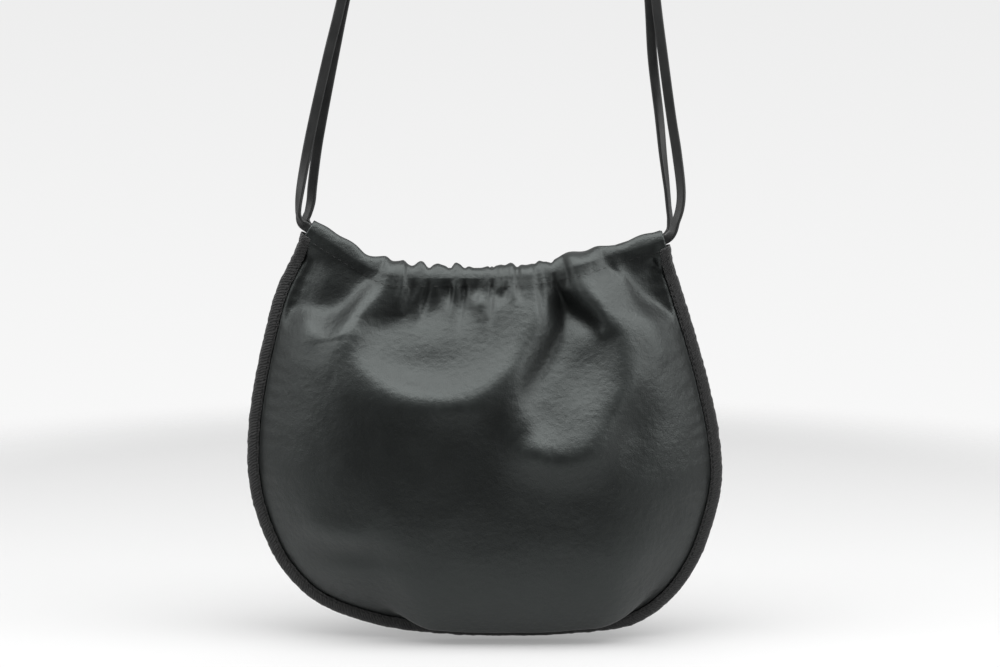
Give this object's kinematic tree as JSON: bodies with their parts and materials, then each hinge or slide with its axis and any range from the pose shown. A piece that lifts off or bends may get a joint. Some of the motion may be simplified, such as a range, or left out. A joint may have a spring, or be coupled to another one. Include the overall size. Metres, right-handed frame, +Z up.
{
  "type": "drawstring crossbody bag",
  "caption": "Soft leather crossbody pouch with a bound round outline, a mouth gathered on laces in sewn tunnels, and a long strap made of the doubled laces.",
  "frame": {"origin": "under the top bend of the doubled strap, where the bag hangs from a shoulder, hand or peg", "axes": "+Z up along the hanging strap, +X to the right as seen from the front, -Y out of the front panel"},
  "size_m": [0.2627, 0.0768, 0.7823],
  "materials": {
    "panel_leather": "soft semi-gloss black leather with fine grain",
    "binding_tape": "matt black woven tape",
    "lace_leather": "semi-gloss black leather lace"
  },
  "bodies": {
    "root": {"front_panel": "panel_leather", "back_panel": "panel_leather", "edge_binding": "binding_tape", "front_lace": "lace_leather", "back_lace": "lace_leather"}
  },
  "joints": []
}
